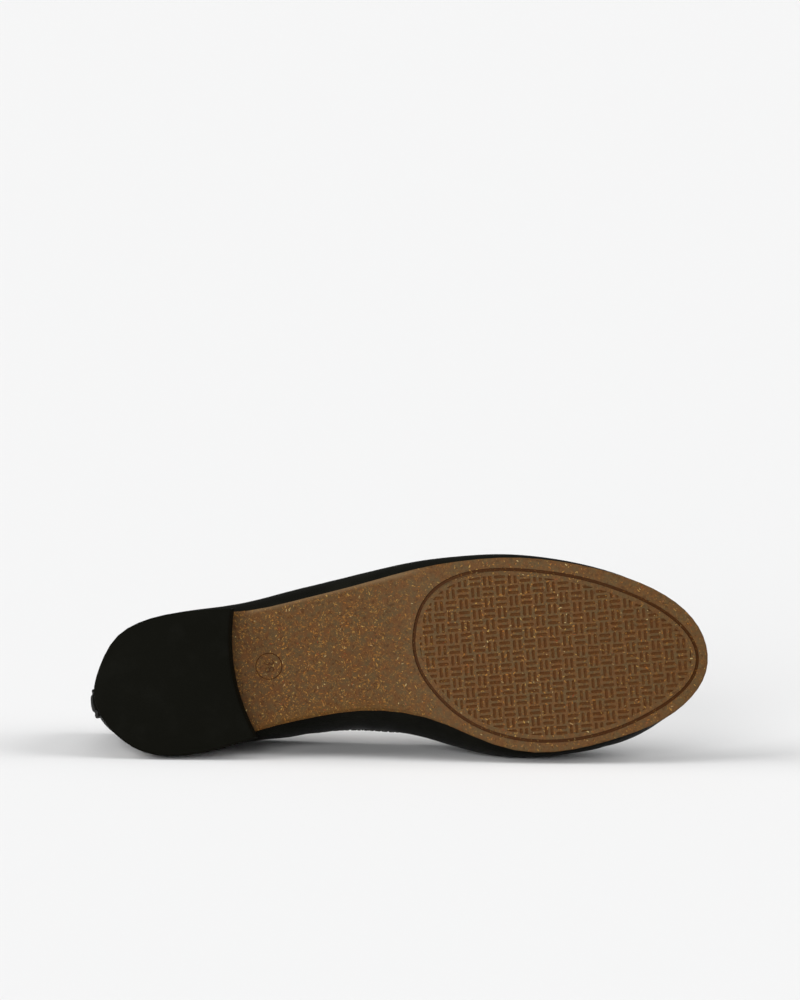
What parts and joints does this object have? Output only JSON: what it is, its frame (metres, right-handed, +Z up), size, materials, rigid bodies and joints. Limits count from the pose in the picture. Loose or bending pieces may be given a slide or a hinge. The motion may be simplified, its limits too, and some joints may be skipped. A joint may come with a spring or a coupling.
{
  "type": "ballet flat",
  "caption": "Right ballet flat with a hollow black upper, rounded collar binding, low heel block and flecked brown rubber sole, lying on its inner side with the sole upright",
  "frame": {"origin": "On the floor, under the middle of the box of the lying shoe", "axes": "+X runs from heel to toe, +Y from the sole to the collar, +Z up, from the inner side of the shoe, which lies on the floor, to its outer side"},
  "size_m": [0.251, 0.0696, 0.0825],
  "materials": {
    "flecked_rubber": "satin brown rubber with amber flecks",
    "heel_rubber": "matte black rubber",
    "upper_leather": "soft black leather with a low sheen",
    "binding_leather": "gathered black leather",
    "strip_leather": "black leather with stitched channels",
    "sock_leather": "smooth tan leather"
  },
  "bodies": {
    "root": {"outsole": "flecked_rubber", "heel": "heel_rubber", "upper": "upper_leather", "collar_binding": "binding_leather", "back_strip": "strip_leather", "insole": "sock_leather"}
  },
  "joints": []
}
